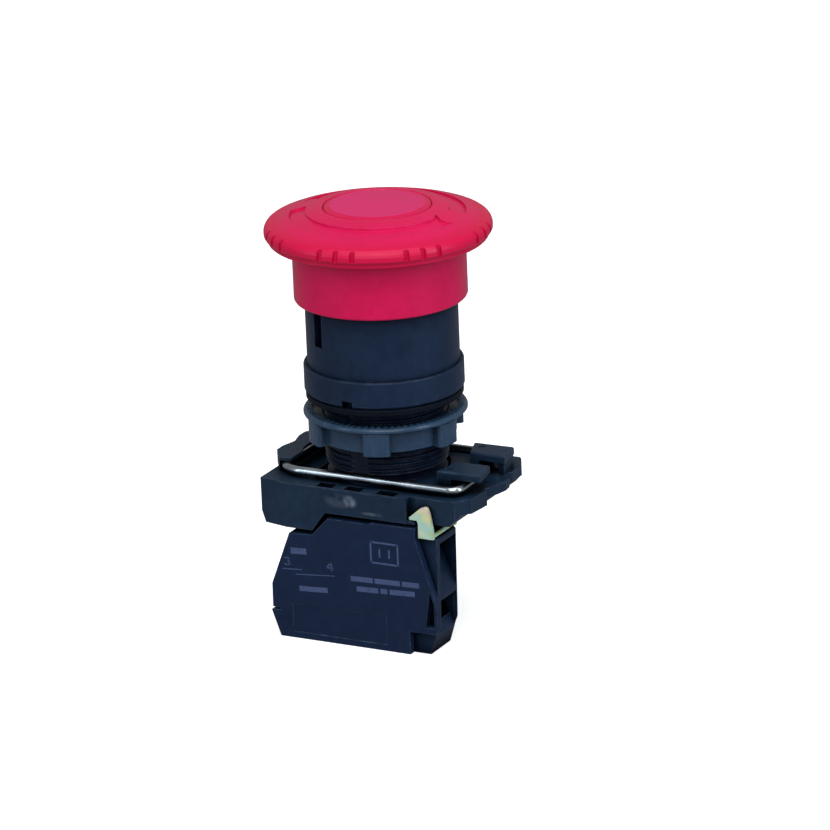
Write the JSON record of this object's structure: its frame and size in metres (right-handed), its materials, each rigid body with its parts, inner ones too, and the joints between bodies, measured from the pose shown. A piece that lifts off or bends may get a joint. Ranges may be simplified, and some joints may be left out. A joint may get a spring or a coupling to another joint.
{
  "type": "emergency stop button",
  "caption": "Panel-mount emergency stop: red mushroom head, turn to release, ring nut, clip-on collar with locking wire, and one contact block.",
  "frame": {"origin": "on the button's axis, in the panel's front plane, which is the underside of the bezel gasket", "axes": "+Z out of the panel towards the operator, +X along the mounting collar, -Y towards the contact block's label side"},
  "size_m": [0.043, 0.04, 0.0774],
  "materials": {
    "red_head": "satin moulded red plastic",
    "black_plastic": "fine-grained black moulded plastic",
    "nut_plastic": "dark slate moulded plastic",
    "rubber": "matt black rubber",
    "bright_wire": "bright drawn steel wire",
    "spring_steel": "spring wire",
    "zinc_plate": "yellow-passivated zinc plate",
    "screw_steel": "zinc-plated steel",
    "white_plastic": "off-white moulded plastic",
    "brass": "tin-flashed brass",
    "silver": "silver contact alloy"
  },
  "bodies": {
    "housings": {"bezel": "black_plastic", "bezel_gasket": "rubber", "threaded_body": "black_plastic", "stem_seal": "rubber", "collar_base": "black_plastic", "block_front_cover": "black_plastic", "block_rear_housing": "black_plastic", "fixed_contact_left": "brass", "fixed_contact_right": "brass", "fixed_contact_tips": "silver", "plunger_return_spring": "spring_steel", "reset_spring": "spring_steel"},
    "pusher_body": {"pusher": "white_plastic", "stem_retainer": "spring_steel", "trigger_spring": "spring_steel", "latch_spring_left": "spring_steel", "latch_spring_right": "spring_steel"},
    "head_body": {"mushroom_head": "red_head", "centre_cap": "red_head", "head_screw": "screw_steel", "cam_stem": "white_plastic"},
    "latch_left_body": {"latch_pin_left": "screw_steel"},
    "latch_right_body": {"latch_pin_right": "screw_steel"},
    "nut_body": {"panel_nut": "nut_plastic"},
    "lever_body": {"release_slide": "black_plastic", "locking_wire": "bright_wire"},
    "plunger_body": {"contact_plunger": "white_plastic", "bridge_spring": "spring_steel"},
    "bridge_body": {"moving_bridge": "brass", "bridge_contact_tips": "silver"},
    "clamp_left_body": {"clamp_plate_left": "screw_steel"},
    "clamp_right_body": {"clamp_plate_right": "screw_steel"},
    "screw_left_body": {"terminal_screw_left": "screw_steel"},
    "screw_right_body": {"terminal_screw_right": "screw_steel"},
    "clip_body": {"block_clip": "zinc_plate"}
  },
  "joints": [
    {"name": "press", "type": "slide", "parent": "housings", "child": "pusher_body", "axis": [0, 0, -1], "range_m": [0, 0.0045], "deforming": ["reset_spring"]},
    {"name": "twist_release", "type": "hinge", "parent": "pusher_body", "child": "head_body", "pos_m": [0, 0, 0.0035], "axis": [0, 0, 1], "range_deg": [0, 35], "deforming": ["trigger_spring"]},
    {"name": "latch_left", "type": "slide", "parent": "pusher_body", "child": "latch_left_body", "axis": [-1, 0, 0], "range_m": [0, 0.0008], "deforming": ["latch_spring_left"]},
    {"name": "latch_right", "type": "slide", "parent": "pusher_body", "child": "latch_right_body", "axis": [1, 0, 0], "range_m": [0, 0.0008], "deforming": ["latch_spring_right"]},
    {"name": "nut_travel", "type": "slide", "parent": "housings", "child": "nut_body", "axis": [0, 0, 1], "range_m": [-0.00395, 0.00105]},
    {"name": "release_slide_travel", "type": "slide", "parent": "housings", "child": "lever_body", "axis": [-1, 0, 0], "range_m": [0, 0.0015]},
    {"name": "plunger_travel", "type": "slide", "parent": "housings", "child": "plunger_body", "axis": [0, 0, -1], "range_m": [0, 0.004], "deforming": ["plunger_return_spring"]},
    {"name": "bridge_lift", "type": "slide", "parent": "plunger_body", "child": "bridge_body", "axis": [0, 0, 1], "range_m": [0, 0.0016], "deforming": ["bridge_spring"]},
    {"name": "clamp_left_travel", "type": "slide", "parent": "housings", "child": "clamp_left_body", "axis": [0, 0, 1], "range_m": [0, 0.0012]},
    {"name": "clamp_right_travel", "type": "slide", "parent": "housings", "child": "clamp_right_body", "axis": [0, 0, 1], "range_m": [0, 0.0012]},
    {"name": "terminal_screw_left_turn", "type": "hinge", "parent": "clamp_left_body", "child": "screw_left_body", "pos_m": [-0.0119, -0.0089, -0.038], "axis": [0, 0, 1], "range_deg": [0, 720]},
    {"name": "terminal_screw_right_turn", "type": "hinge", "parent": "clamp_right_body", "child": "screw_right_body", "pos_m": [0.0119, -0.0089, -0.038], "axis": [0, 0, 1], "range_deg": [0, 720]},
    {"name": "clip_flex", "type": "hinge", "parent": "housings", "child": "clip_body", "pos_m": [0.01545, -0.0095, -0.02055], "axis": [0, 1, 0], "range_deg": [0, 8]}
  ],
  "couplings": [
    {"joint": "latch_left", "follows": "press", "ratio": 0.1777},
    {"joint": "latch_right", "follows": "press", "ratio": 0.1777},
    {"joint": "plunger_travel", "follows": "press", "ratio": 0.8888},
    {"joint": "bridge_lift", "follows": "press", "ratio": 0.3555},
    {"joint": "terminal_screw_left_turn", "follows": "clamp_left_travel", "rad_per_m": 10471},
    {"joint": "terminal_screw_right_turn", "follows": "clamp_right_travel", "rad_per_m": 10471}
  ]
}
